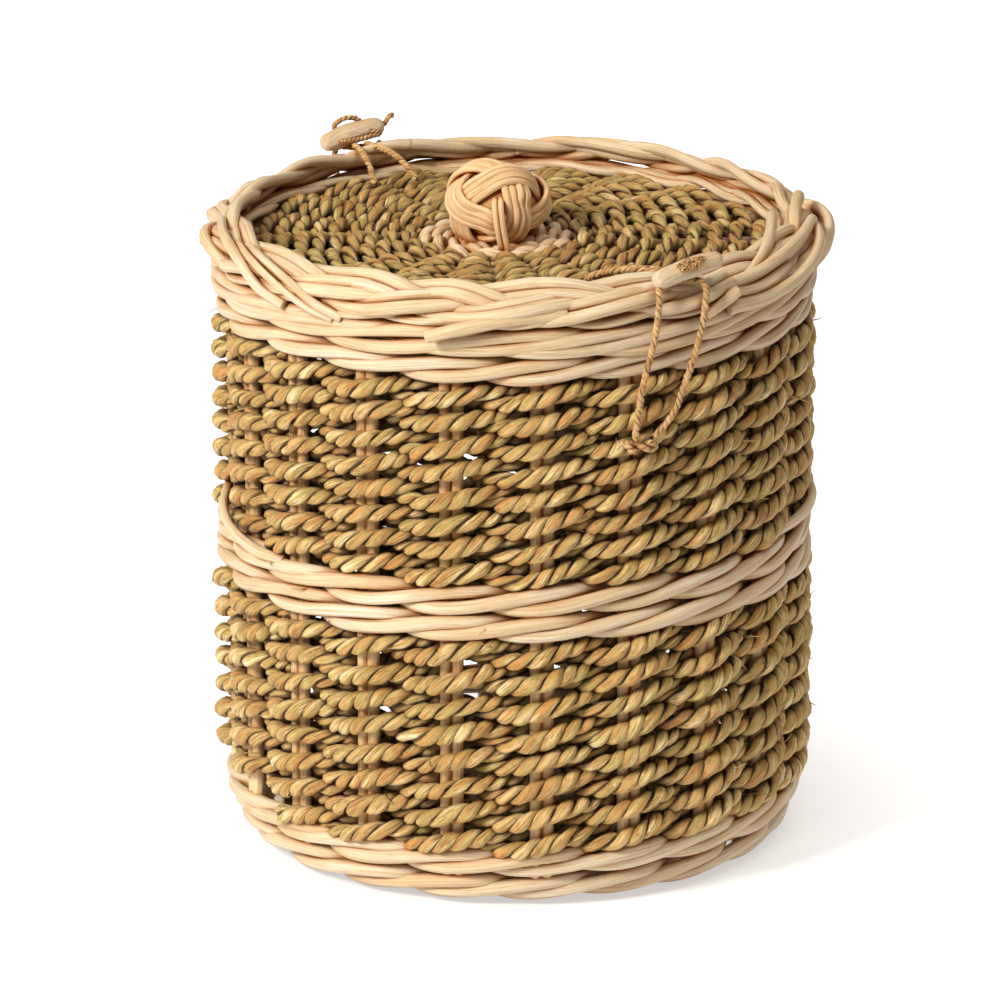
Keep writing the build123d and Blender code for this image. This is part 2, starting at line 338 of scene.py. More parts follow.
class Tree:
    """A material's node tree, built one node at a time."""

    def __init__(self, name):
        self.material = bpy.data.materials.new(name)
        self.material.use_nodes = True
        self.tree = self.material.node_tree
        self.tree.nodes.clear()

    def node(self, kind, inputs, **settings):
        """A node with its inputs set to values or linked to other nodes' outputs."""
        made = self.tree.nodes.new("ShaderNode" + kind)
        for key, value in settings.items():
            setattr(made, key, value)
        for key, value in inputs.items():
            if isinstance(value, bpy.types.NodeSocket):
                self.tree.links.new(value, made.inputs[key])
            else:
                made.inputs[key].default_value = value
        return made

    def strand(self):
        """Sockets of the place on the rod, moved to a place of its own for each rod,
        the rod's random number, its facing the other strand, and its nearness to a cut end."""
        rod = self.node("Attribute", {}, attribute_name="rod")
        tone = self.node("Attribute", {}, attribute_name="tone")
        parts = self.node("SeparateXYZ", {0: tone.outputs["Vector"]})
        own = tone.outputs["Vector"]
        shift = self.node("VectorMath", {0: own, 1: (873.0, 0, 0)}, operation="MULTIPLY")
        place = self.node("VectorMath", {0: rod.outputs["Vector"], 1: shift.outputs[0]}, operation="ADD")
        return place.outputs[0], parts.outputs["X"], parts.outputs["Y"], parts.outputs["Z"]

    def noise(self, place, stretch, detail=3.0, roughness=0.5):
        """Noise over the rod, with its own scale along and round it."""
        scaled = self.node("VectorMath", {0: place, 1: stretch}, operation="MULTIPLY")
        sizes = {"Scale": 1.0, "Detail": detail, "Roughness": roughness}
        return self.node("TexNoise", {"Vector": scaled.outputs[0], **sizes}).outputs["Fac"]

    def spread(self, value, low, high, to_low=0.0, to_high=1.0):
        """The value's range low to high, stretched to another range and clamped."""
        limits = {"From Min": low, "From Max": high, "To Min": to_low, "To Max": to_high}
        return self.node("MapRange", {"Value": value, **limits}).outputs["Result"]

    def ramp(self, value, *stops):
        """Colours along a value; each stop is (position, red, green, blue)."""
        made = self.node("ValToRGB", {"Fac": value})
        elements = made.color_ramp.elements
        while len(elements) < len(stops):
            elements.new(0.5)
        for element, (position, *colour) in zip(elements, stops):
            element.position = position
            element.color = (*colour, 1.0)
        return made.outputs["Color"]

    def mix(self, factor, one, other, blend="MIX"):
        """Mix of two colours."""
        made = self.node("Mix", {0: factor, 6: one, 7: other}, data_type="RGBA", blend_type=blend)
        return made.outputs[2]

    def add(self, one, other, weight):
        """one + other * weight."""
        made = self.node("Math", {0: other, 1: weight, 2: one}, operation="MULTIPLY_ADD")
        return made.outputs[0]

    def crevice_shade(self, colour, tint, shut=0.30, free=0.88):
        """Painted shade: the colour multiplied by a tint where other rods and strands lie close, as
        ambient occlusion finds them.
        """
        open_sky = self.node("AmbientOcclusion", {"Distance": CREVICE_REACH}, samples=6)
        shade = self.spread(open_sky.outputs["AO"], shut, free, 1.0, 0.0)
        tinted = self.mix(1.0, colour, tint, "MULTIPLY")
        return self.mix(shade, colour, tinted)

    def finish(self, colour, roughness, height, depth, **shader):
        """The surface, with bumps of a given depth in metres."""
        bump = self.node("Bump", {"Height": height, "Distance": depth, "Strength": 1.0})
        surface = self.node("BsdfPrincipled", {
            "Base Color": colour,
            "Roughness": roughness,
            "Normal": bump.outputs["Normal"],
            **{key.replace("_", " "): value for key, value in shader.items()},
        })
        output = self.node("OutputMaterial", {})
        self.tree.links.new(surface.outputs[0], output.inputs["Surface"])
        return self.material


def rattan_material(name, warmth, tint=(1, 1, 1, 1), crevice=(0.62, 0.28, 0.055, 1)):
    """Peeled cane: pale cream with fine grain, honey patches, brown streaks and pores, and painted brown
    shade in crevices.
    """
    tree = Tree(name)
    place, chance, _, cut = tree.strand()
    grain = tree.noise(place, (0.024, 1.8, 1.8), 5.0, 0.70)
    fine = tree.noise(place, (0.10, 4.6, 4.6), 3.0, 0.6)
    patch = tree.noise(place, (0.035, 0.16, 0.16), 2.0)
    streak = tree.noise(place, (0.011, 2.2, 2.2), 2.0)
    pores = tree.noise(place, (0.42, 3.4, 3.4), 2.0)
    cream = tree.ramp(
        tree.spread(grain, 0.30, 0.70),
        (0.0, 0.45, 0.225, 0.065),
        (0.25, 0.66, 0.465, 0.265),
        (0.60, 0.790, 0.640, 0.450),
        (1.0, 0.86, 0.755, 0.600),
    )
    honey = tree.mix(tree.spread(patch, 0.50, 0.72, 0.0, 0.55 * warmth), cream, (0.62, 0.37, 0.155, 1))
    own = tree.mix(tree.spread(chance, 0.2, 1.0, 0.0, 0.40 * warmth), honey, (0.66, 0.42, 0.19, 1))
    # The tint shifts the whole cane's colour: on the knob its own warmer colour, on the stakes painted
    # light.
    tinted = tree.mix(1.0, own, tint, "MULTIPLY")
    streaked = tree.mix(tree.spread(streak, 0.58, 0.68, 0.0, 0.42), tinted, (0.50, 0.29, 0.12, 1))
    dots = tree.mix(tree.spread(pores, 0.70, 0.78, 0.0, 0.6), streaked, (0.26, 0.12, 0.04, 1))
    ends = tree.mix(tree.spread(cut, 0.3, 1.0, 0.0, 0.45), dots, (0.80, 0.62, 0.44, 1))
    # Painted shade: warm brown where other rods lie close.
    crevice_shaded = tree.crevice_shade(ends, crevice, 0.30, 0.88)
    height = tree.add(grain, fine, 0.45)
    rough = tree.spread(fine, 0.3, 0.7, 0.45, 0.65)
    return tree.finish(crevice_shaded, rough, height, 0.75 * MM)


def seagrass_material(name, tint=(1, 1, 1, 1)):
    """Twisted seagrass: olive, straw and tan lengths with orange-brown patches and fibres, and painted
    shade in crevices and where the strands meet.
    """
    tree = Tree(name)
    place, chance, inner, _ = tree.strand()
    patch = tree.noise(place, (0.09, 0.24, 0.24), 2.0, 0.55)
    blade = tree.noise(place, (0.035, 0.60, 0.60), 3.0, 0.6)
    fibre = tree.noise(place, (0.05, 2.2, 2.2), 4.0, 0.72)
    rust = tree.noise(place, (0.10, 0.40, 0.40), 2.0, 0.5)
    body = tree.ramp(
        tree.spread(tree.add(patch, blade, 0.8), 0.66, 1.14),
        (0.0, 0.33, 0.155, 0.036),
        (0.25, 0.59, 0.325, 0.088),
        (0.45, 0.470, 0.360, 0.105),
        (0.70, 0.740, 0.520, 0.190),
        (1.0, 0.960, 0.775, 0.430),
    )
    own = tree.mix(tree.spread(chance, 0.0, 1.0, 0.0, 0.40), body, (0.72, 0.41, 0.15, 1))
    rusty = tree.mix(tree.spread(rust, 0.58, 0.69, 0.0, 0.70), own, (0.72, 0.30, 0.075, 1))
    # The tint darkens the whole rope; on the lid it is painted shade.
    tinted = tree.mix(1.0, rusty, tint, "MULTIPLY")
    lines = tree.mix(tree.spread(fibre, 0.39, 0.50, 0.78, 0.0), tinted, (0.20, 0.090, 0.022, 1))
    # Painted shade: dark brown where other ropes and stakes lie close.
    crevice_shaded = tree.crevice_shade(lines, (0.14, 0.058, 0.012, 1), 0.30, 0.84)
    # Painted shade in the crease where the strand faces the other strand.
    strand_crease_shaded = tree.mix(tree.spread(inner, 0.48, 0.60, 0.0, 0.80), crevice_shaded, (0.085, 0.036, 0.009, 1))
    height = tree.add(fibre, blade, 0.35)
    rough = tree.spread(fibre, 0.35, 0.65, 0.56, 0.38)
    return tree.finish(strand_crease_shaded, rough, height, 1.0 * MM)


def string_material(name):
    """Two-ply bast string: tan with long pale and brown fibres, and painted shade in crevices and where
    the plies meet.
    """
    tree = Tree(name)
    place, chance, inner, _ = tree.strand()
    patch = tree.noise(place, (0.09, 0.5, 0.5), 2.0)
    fibre = tree.noise(place, (0.16, 4.5, 4.5), 3.0, 0.6)
    tan = tree.ramp(
        tree.spread(patch, 0.32, 0.70),
        (0.0, 0.42, 0.210, 0.070),
        (0.5, 0.62, 0.370, 0.145),
        (1.0, 0.78, 0.540, 0.260),
    )
    own = tree.mix(tree.spread(chance, 0.0, 1.0, 0.0, 0.25), tan, (0.42, 0.22, 0.08, 1))
    lines = tree.mix(tree.spread(fibre, 0.34, 0.52, 0.7, 0.0), own, (0.17, 0.08, 0.028, 1))
    # Painted shade: brown where other strands and rods lie close.
    crevice_shaded = tree.crevice_shade(lines, (0.40, 0.22, 0.09, 1))
    # Painted shade in the crease where the two plies meet.
    strand_crease_shaded = tree.mix(tree.spread(inner, 0.40, 0.58, 0.0, 0.75), crevice_shaded, (0.13, 0.060, 0.018, 1))
    return tree.finish(strand_crease_shaded, 0.7, fibre, 0.5 * MM)


# ---- ropes and strings ------------------------------------------------------------
def lay_strands(weave, rng, core, out, radius, lay, closed=True, flat=1.0, sides=8):
    """Two strands laid round each other; flat squeezes them across out, per point."""
    if closed:
        tangent = unit(np.roll(core, -1, axis=0) - np.roll(core, 1, axis=0))
    else:
        tangent = unit(np.gradient(core, axis=0))
    normal = unit(out - tangent * dot(out, tangent))
    up = np.cross(normal, tangent)
    along = arc_length(np.vstack([core, core[:1]]))[:-1] if closed else arc_length(core)
    length = along[-1] + (np.linalg.norm(core[0] - core[-1]) if closed else 0)
    turns = round(length / lay) if closed else length / lay
    share = along / length
    loose = ring_noise(rng, 2 * math.pi * share, max(2, int(turns * 0.6)))
    phase = 2 * math.pi * turns * share + 0.42 * loose + rng.uniform(0, 2 * math.pi)
    swell = 1 + 0.05 * ring_noise(rng, 2 * math.pi * share, max(2, int(turns * 0.4)))
    flat = np.broadcast_to(np.asarray(flat, float), share.shape)
    for strand in range(2):
        angle = phase + math.pi * strand
        arm = normal * column(np.cos(angle)) + up * column(np.sin(angle) * flat)
        plump = swell + 0.085 * ring_noise(rng, 2 * math.pi * share, max(2, int(turns * 2.2)))
        half = np.stack([0.55 * radius * plump, 0.70 * radius * plump * flat], axis=1)
        path = core + arm * 0.49 * radius
        twist = -2 * math.pi / (2.2 * lay)
        weave.add(path, arm, half, closed, sides, "round", rng.random(), twist, crease=1.0)


def inside_stake(turn, rope):
    """The angle nearest to turn at which a wall rope is behind a stake."""
    stake = 2 * round((turn * STAKES / (2 * math.pi) - 1 + rope) / 2) + 1 - rope
    return 2 * math.pi * stake / STAKES


def twined_wall_ropes(weave, rng, turn, level, pitch, closed):
    """Two ropes that pass each other between the stakes, one outside every stake.

    turn holds the angles of a closed row, or of several laps that climb; a climbing rope
    is pieced about once a lap, behind a stake."""
    laps = max(1.0, (turn[-1] - turn[0]) / (2 * math.pi))
    lap_share = turn if closed else (turn - turn[0]) / laps
    wander = 0.34 * MM * ring_noise(rng, lap_share, int(9 * laps))
    for rope in range(2):
        phase = STAKES / 2 * turn + math.pi * rope
        bow = np.cos(phase)
        swing = ROPE_SWING + 0.22 * MM * ring_noise(rng, lap_share, int(12 * laps))
        rise = ROPE_RISE * pitch / (9.6 * MM)
        radius = STAKE_CIRCLE + swing * np.sign(bow) * np.abs(bow) ** 0.85
        wave = rise * np.sin(phase) + 0.28 * MM * ring_noise(rng, lap_share, int(18 * laps))
        core = ring(radius, turn, level + wander + wave)
        out = ring(1.0, turn, 0.0)
        flat = 1 - 0.21 * np.sin(phase) ** 2
        joins = [turn[0]]
        if not closed:
            for lap in range(1, math.ceil(laps)):
                joins.append(inside_stake(turn[0] + 2 * math.pi * (lap + rng.uniform(-0.3, 0.3)), rope))
        cuts = [*np.searchsorted(turn, joins), len(turn)]
        for first, last in zip(cuts, cuts[1:]):
            lay = ROPE_LAY * rng.uniform(0.93, 1.08)
            size = ROPE_RADIUS * rng.uniform(0.92, 1.05)
            part = slice(first, last)
            lay_strands(weave, rng, core[part], out[part], size, lay, closed=closed, flat=flat[part])


def make_wall_ropes(material):
    """Both rope bands, as pieces of four rows: closed rows above, a helix from a cut end below."""
    rng = np.random.default_rng(11)
    half = ROPE_ROWS // 2
    low, high = span("upper_weave_outer")
    low -= UPPER_OVERHANG
    pitch = (high - low) / ROPE_ROWS
    for part, first in (("bottom", 0), ("top", half)):
        weave = Weave(f"upper_ropes_{part}")
        for row in range(first, first + half):
            level = low + (row + 0.5) * pitch
            twined_wall_ropes(weave, rng, ring_turns(STAKE_CIRCLE), level, pitch, True)
        weave.build(material, "basket_body", "seagrass_rope", "upper_weave_outer", "upper_weave_inner")

    low, high = span("lower_weave_outer")
    low -= LOWER_OVERHANG
    pitch = (high - low) / ROPE_ROWS
    for part, first, last in (("bottom", 0, half), ("top", half, LOWER_LAPS)):
        weave = Weave(f"lower_ropes_{part}")
        count = int((last - first) * 2 * math.pi * STAKE_CIRCLE / STEP)
        laps = np.linspace(first, last, count)
        turn = LOWER_START + 2 * math.pi * laps
        level = low + (laps + 0.42) * pitch
        twined_wall_ropes(weave, rng, turn, level, pitch, False)
        weave.build(material, "basket_body", "seagrass_rope", "lower_weave_outer", "lower_weave_inner")


# ---- rods of the wall --------------------------------------------------------------
def make_stakes(material):
    """Pairs of upright rods that turn in at the foot."""
    rng = np.random.default_rng(5)
    weave = Weave("stakes")
    low = span("foot_wale")[0] + 6 * MM
    high = span("rim_border")[1] - 5 * MM
    height = np.linspace(low, high, 90)
    sink = np.clip((20 * MM - height) / (14 * MM), 0, 1)
    for stake in range(STAKES):
        for side in (-1, 1):
            middle = 2 * math.pi * stake / STAKES
            offset = side * STAKE_SPACING / 2 / STAKE_CIRCLE
            sway = rng.normal(0, 0.0012) + rng.normal(0, 0.002) * (height - low) / (high - low)
            radius = STAKE_CIRCLE - 7 * MM * sink ** 1.5
            path = ring(radius, middle + offset + sway, height)
            size = STAKE_RADIUS * rng.uniform(0.93, 1.04)
            weave.add(path, ring(1.0, middle + 0 * height, 0.0), size, sides=12, tone=rng.random())
    nodes = [f"stake_pair_{stake + 1:02d}" for stake in range(STAKES)]
    weave.build(material, "basket_body", "rattan_rod", *nodes)


def wale_round(weave, rng, laps, level, circle, start, period=3, rod=ROD, rise=WALE_RISE):
    """As many rods as the period, each in front of all but one of that many stakes.

    level gives the height of the band from the share of it that is done, and circle
    its radius from the height. start is the first stake, counted from the front."""
    for lead in range(period):
        first = start + lead
        count = period * int(laps * STAKES / period)
        place = np.linspace(first, first + count, int(count * 2 * math.pi * STAKE_CIRCLE / STAKES / STEP))
        share = (place - start) / (laps * STAKES)
        cycle = ((place - first) / period) % 1.0
        nearness = np.minimum(cycle, 1 - cycle)
        bulge = 1 - 2 * np.exp(-(nearness * period / 0.51) ** 2)
        turn = place * 2 * math.pi / STAKES
        height = level(share) - rise * np.sin(2 * math.pi * cycle)
        height = height + 0.25 * MM * ring_noise(rng, turn, 7)
        radius = circle(height) - 0.8 * MM + WALE_SWING * bulge + 0.3 * MM * ring_noise(rng, turn, 11)
        size = rod * rng.uniform(0.93, 1.07) * (1 + 0.04 * ring_noise(rng, turn, 14))
        height = height + 0.45 * MM * ring_noise(rng, turn, 4)
        path = ring(radius, turn, height)
        weave.add(path, ring(1.0, turn, 0.0), oval(size, 0.90, 1.10), sides=12, tone=rng.random())


def stepped(low, pitch, laps):
    """Level that climbs by one pitch at the end of each lap."""
    def level(share):
        lap = share * laps
        climb = np.clip((lap - np.floor(lap) - 0.86) / 0.14, 0, 1)
        return low + pitch * (np.floor(lap) + climb * climb * (3 - 2 * climb))
    return level


FOOT_CIRCLE = 91.1 * MM        # circle of the lowest foot rods


def make_bands(material):
    """The foot, the middle band and the band under the rim."""
    rng = np.random.default_rng(21)
    foot_low, foot_high = span("foot_wale")
    foot_out = reach("foot_wale")
    widening = foot_out - 98.0 * MM

    def taper(height):
        """Circle of the foot's rods at a height."""
        share = np.clip((height - foot_low) / (foot_high - foot_low), 0, 1)
        return FOOT_CIRCLE + widening * np.sin(share * math.pi / 2) ** 0.9

    weave = Weave("foot_rods")
    pitch = (foot_high - foot_low) / 2.15
    wale_round(weave, rng, 2, stepped(foot_low + 7.7 * MM, pitch, 2), taper, 9, rise=2.7 * MM)
    weave.build(material, "basket_body", "rattan_rod", "foot_wale", "foot_lining")

    low, high = span("middle_wale_outer")
    pitch = (high - low) / 2
    weave = Weave("middle_rods")
    wale_round(weave, rng, 2, stepped(low + pitch / 2, pitch, 2), lambda height: STAKE_CIRCLE, 10)
    weave.build(material, "basket_body", "rattan_rod", "middle_wale_outer", "middle_wale_inner")

    low, high = span("top_wale_outer")
    weave = Weave("top_rods")
    wale_round(weave, rng, 1, stepped((low + high) / 2, 0, 1), lambda height: STAKE_CIRCLE, 11)
    weave.build(material, "basket_body", "rattan_rod", "top_wale_outer", "top_wale_inner")


# ---- plaited borders ---------------------------------------------------------------
def plait(weave, rng, radius, height, lean, half_width, lift, cover, periods, rod, phase=0.0):
    """Closed three-strand plait of doubled rods.

    lean is the angle of its flat side: 0 lies level, 90 stands upright. lift is how far
    strands pass over and under each other by turns, and cover how far the strands that
    run inwards lie over the others all the way."""
    turn = ring_turns(radius)
    slope = math.radians(lean)
    wide = ring(math.cos(slope), turn, -math.sin(slope))
    out = ring(math.sin(slope), turn, math.cos(slope))
    for strand in range(3):
        wave = periods * turn + 2 * math.pi * strand / 3 + phase + 0.16 * ring_noise(rng, turn, 9)
        side = half_width * np.sin(wave) * (1 + 0.10 * ring_noise(rng, turn, 7))
        rise = -lift * np.sin(2 * wave) - cover * np.cos(wave)
        middle = ring(radius, turn, height) + wide * column(side) + out * column(rise)
        tangent = unit(np.roll(middle, -1, axis=0) - np.roll(middle, 1, axis=0))
        beside = np.cross(tangent, unit(out - tangent * dot(out, tangent)))
        for twin in (-1, 1):
            gap = twin * rod * (1.06 + 0.18 * ring_noise(rng, turn, 9))
            drop = 0.40 * MM * ring_noise(rng, turn, 11)
            path = middle + beside * column(gap) + out * column(drop)
            size = rod * rng.uniform(0.93, 1.05) * (1 + 0.035 * ring_noise(rng, turn, 16))
            weave.add(path, out, oval(size, 0.92, 1.16), closed=True, sides=12, tone=rng.random())


RIM_CIRCLE = 104.9 * MM
RIM_PLAIT = 101.6 * MM
LID_PLAIT = 106.0 * MM
LID_PLAIT_BELOW = 104.6 * MM
THIN_ROD = 1.7 * MM


def make_borders(material):
    """The rim of the wall and the border of the lid."""
    rng = np.random.default_rng(33)
    low, high = span("rim_border")
    middle = (low + high) / 2
    weave = Weave("rim_rods")
    level = stepped(middle, 0, 1)
    wale_round(weave, rng, 1, level, lambda height: RIM_CIRCLE, 12, 4, 2.25 * MM, 3.3 * MM)
    plait(weave, rng, RIM_PLAIT, middle + 0.2 * MM, 90, 1.6 * MM, 1.0 * MM, 0.0, 7, THIN_ROD, 1.0)
    weave.build(material, "basket_body", "rattan_rod", "rim_border")

    low = span("lid_border")[0]
    weave = Weave("lid_plait")
    plait(weave, rng, LID_PLAIT, low + 9.5 * MM, 34, 4.8 * MM, 1.7 * MM, 0.4 * MM, 6, 2.25 * MM, 0.6)
    plait(weave, rng, LID_PLAIT_BELOW, low + 3.6 * MM, 8, 4.2 * MM, 1.0 * MM, 0.0, 7, THIN_ROD, 2.0)
    weave.build(material, "lid_body", "rattan_rod", "lid_border")


# Loose rods as (half thickness, points), each point a distance from the axis, an angle
# in degrees and a height; lengths are in millimetres
LID_STRAYS = [
    (1.6, [
        (103, -95, 229), (105.5, -87, 231.8), (108.5, -80, 232),
        (112.4, -69, 228.5), (113.4, -62, 223), (111, -57, 219),
    ]),
    (1.4, [
        (104.5, -98, 229), (107.5, -90, 231.5), (110.8, -82, 231),
        (113.8, -72, 227), (113.8, -64, 221.5), (111, -59, 218),
    ]),
    (2.0, [(107, -108, 232), (109, -97, 232), (112.2, -85, 229.5), (114, -77, 223.5), (111.5, -71, 219)]),
    (2.2, [(106, -115, 226), (111, -109, 228.5), (113.8, -104, 228.5), (113, -98, 226), (110, -93, 223)]),
    (2.5, [(104, 70, 236.5), (102.5, 61, 235.5), (104, 54, 231), (107, 46, 227)]),
    (2.3, [(110, 55, 235.5), (111, 45, 234.5), (111.5, 37, 232.5), (110.5, 28, 229), (107, 20, 226)]),
    (2.3, [(94.5, 58, 234.5), (99, 45, 234.5), (104.5, 35, 232), (109, 26, 228)]),
    (2.2, [
        (108, 58, 232), (114, 51, 233), (117, 44, 229),
        (117, 36, 224), (116, 27, 221), (113, 19, 220),
    ]),
    (2.2, [(106, 80, 229), (111.5, 72, 231), (114.8, 64, 230), (115, 55, 226), (113, 46, 222)]),
    (2.0, [(112, 13.8, 219.5), (114.5, 16.5, 223), (116.2, 19.5, 227)]),
    (2.2, [(110, -14, 224.5), (113, -24, 224), (115.3, -33, 221), (116, -39, 217.5)]),
    (2.0, [(108, 120, 228), (110.5, 132, 230.5), (107, 145, 231), (102, 156, 229)]),
]
BAND_STRAYS = [
    (1.9, [(106, -104, 134), (111, -96, 131), (113.2, -89, 127), (112, -81, 123), (108, -74, 121)]),
    (1.9, [(106, 38, 125), (110.5, 47, 128), (111, 56, 131), (107, 65, 134)]),
    (1.8, [(108, 152, 122), (112.8, 160, 120), (112.8, 170, 118.5), (108, 179, 117)]),
]


def make_strays(name, strays, body, node, material):
    """Loose rods and cut ends that stand off a border."""
    rng = np.random.default_rng(len(name))
    weave = Weave(name)
    for thickness, route in strays:
        points = [around(radius * MM, angle, height * MM) for radius, angle, height in route]
        path = smooth_curve(points)
        out = path * [1, 1, 0]
        wobble = 1 + 0.05 * np.sin(np.linspace(0, 9, len(path)) + rng.uniform(0, 6))
        size = thickness * MM * wobble
        weave.add(path, out, oval(size, 0.92, 1.08), sides=12, tone=rng.random())
    weave.build(material, body, "rattan_rod", node)


def make_wisps(material):
    """Short fibres that stand off the wall ropes."""
    rng = np.random.default_rng(77)
    low, high = span("lower_weave_outer")[0], span("upper_weave_outer")[1]
    weave = Weave("wall_wisps")
    for _ in range(70):
        angle = rng.uniform(0, 360)
        height = rng.uniform(low, high)
        sweep = rng.choice([-1, 1]) * rng.uniform(1.2, 3.2)
        lift = rng.uniform(1.0, 3.2) * MM
        climb = rng.normal(0, 2.2) * MM
        points = [
            around(106 * MM, angle, height),
            around(109.5 * MM, angle + 0.3 * sweep, height + 0.2 * climb),
            around(110 * MM + 0.7 * lift, angle + 0.7 * sweep, height + 0.7 * climb),
            around(110 * MM + lift, angle + sweep, height + climb),
        ]
        path = smooth_curve(points, 0.8 * MM)
        size = rng.uniform(0.16, 0.34) * MM * np.linspace(1.0, 0.45, len(path))
        weave.add(path, path * [1, 1, 0], oval(size, 0.5, 1.5), sides=5, tone=rng.random())
    weave.build(material, "basket_body", "seagrass_rope", "upper_weave_outer", "lower_weave_outer")


# ---- woven panels -------------------------------------------------------------------
PANEL_ROWS = 9
PANEL_ROW_FIRST = 31.5 * MM
PANEL_ROW_PITCH = 7.25 * MM
PANEL_ROPE = 2.8 * MM
PANEL_SWING = 4.1 * MM
SPOKE_STEP = 4.2 * MM
SPOKE_STRAIGHT = 13.0 * MM
SPOKE_RADIUS = 1.75 * MM


def make_panel(name, body, centre, edge, mid, materials, seed):
    """Round panel: crossed sticks, rod binding at the centre and rows of twined rope."""
    rng = np.random.default_rng(seed)
    rattan, seagrass = materials

    spokes = Weave(f"{name}_spokes")
    for layer, heading in ((-1, 0.0), (1, math.pi / 2)):
        for index in range(-2, 3):
            fan = index * 2 * math.pi / STAKES
            across = index * SPOKE_STEP
            local = [
                (-edge * math.cos(fan), edge * math.sin(fan)),
                (-SPOKE_STRAIGHT * 1.8, across * 1.15),
                (-SPOKE_STRAIGHT * 0.5, across),
                (SPOKE_STRAIGHT * 0.5, across),
                (SPOKE_STRAIGHT * 1.8, across * 1.15),
                (edge * math.cos(fan), edge * math.sin(fan)),
            ]
            points = []
            for order, (x, y) in enumerate(local):
                turned = Vector((
                    x * math.cos(heading) - y * math.sin(heading),
                    x * math.sin(heading) + y * math.cos(heading),
                ))
                inside = order not in (0, 5)
                moved = turned + centre if inside else turned
                points.append((moved.x, moved.y, mid + layer * (1.6 * MM if inside else 0.2 * MM)))
            path = smooth_curve(points)
            spokes.add(path, upward(path), SPOKE_RADIUS * rng.uniform(0.9, 1.05), tone=rng.random())
    spokes.build(rattan, body, "rattan_rod", f"{name}_sticks_lower", f"{name}_sticks_upper")

    binding = Weave(f"{name}_centre_rods")
    for radius, waves in ((8.5, 4), (12.8, 4), (17.1, 5), (21.4, 5), (25.7, 7)):
        turn = ring_turns(radius * MM, step=0.8 * MM)
        for rod in range(2):
            wave = waves * turn + math.pi * rod + radius
            level = mid + 3.4 * MM * np.cos(wave)
            round_off = radius * MM + 1.5 * MM * np.sin(wave)
            path = ring(round_off, turn, level)
            path[:, :2] += centre
            binding.add(path, upward(path), 2.0 * MM, closed=True, tone=rng.random())
    binding.build(rattan, body, "rattan_rod", f"{name}_binding_bottom", f"{name}_binding_top")

    ropes = Weave(f"{name}_ropes")
    for row in range(PANEL_ROWS):
        radius = PANEL_ROW_FIRST + (row + 0.1) * PANEL_ROW_PITCH * (edge - 32 * MM) / (65 * MM)
        off_centre = np.array(centre) * (1 - (row + 0.5) / PANEL_ROWS)
        turn = ring_turns(radius, step=1.4 * MM)
        for rope in range(2):
            phase = STAKES / 2 * turn + math.pi * rope
            bow = np.cos(phase)
            level = mid + PANEL_SWING * np.sign(bow) * np.abs(bow) ** 0.85
            level = level + 0.3 * MM * ring_noise(rng, turn, 12)
            round_off = radius + 1.8 * MM * np.sin(phase) + 0.3 * MM * ring_noise(rng, turn, 9)
            core = ring(round_off, turn, level)
            core[:, :2] += off_centre
            flat = 1 - 0.15 * np.sin(phase) ** 2
            lay = 0.85 * ROPE_LAY * rng.uniform(0.9, 1.08)
            size = PANEL_ROPE * rng.uniform(0.92, 1.06)
            lay_strands(ropes, rng, core, upward(core), size, lay, flat=flat)
    ropes.build(seagrass, body, "seagrass_rope", f"{name}_weave_bottom", f"{name}_weave_top")


# ---- knob ---------------------------------------------------------------------------
KNOB_LEADS = 4
KNOB_BIGHTS = 3
KNOB_STRIPS = 4
KNOB_STRIP_WIDTH = 3.1 * MM
KNOB_STRIP_THICK = 2.3 * MM
KNOB_SQUASH = 0.84
KNOB_REACH = math.radians(61)      # how near the knot's poles its strips come
KNOB_LIFT = 1.5 * MM
KNOB_HEADING = math.radians(-26)
KNOB_RISE = math.radians(20)
KNOB_ROLL = math.radians(128)


def knob_frame():
    """Rows: two directions across the knot's pole and the pole, which looks outwards."""
    pole = np.array(around(math.cos(KNOB_RISE), math.degrees(KNOB_HEADING), math.sin(KNOB_RISE)))
    beside = np.array([math.cos(KNOB_HEADING), math.sin(KNOB_HEADING), 0])
    return np.stack([beside, np.cross(pole, beside), pole])


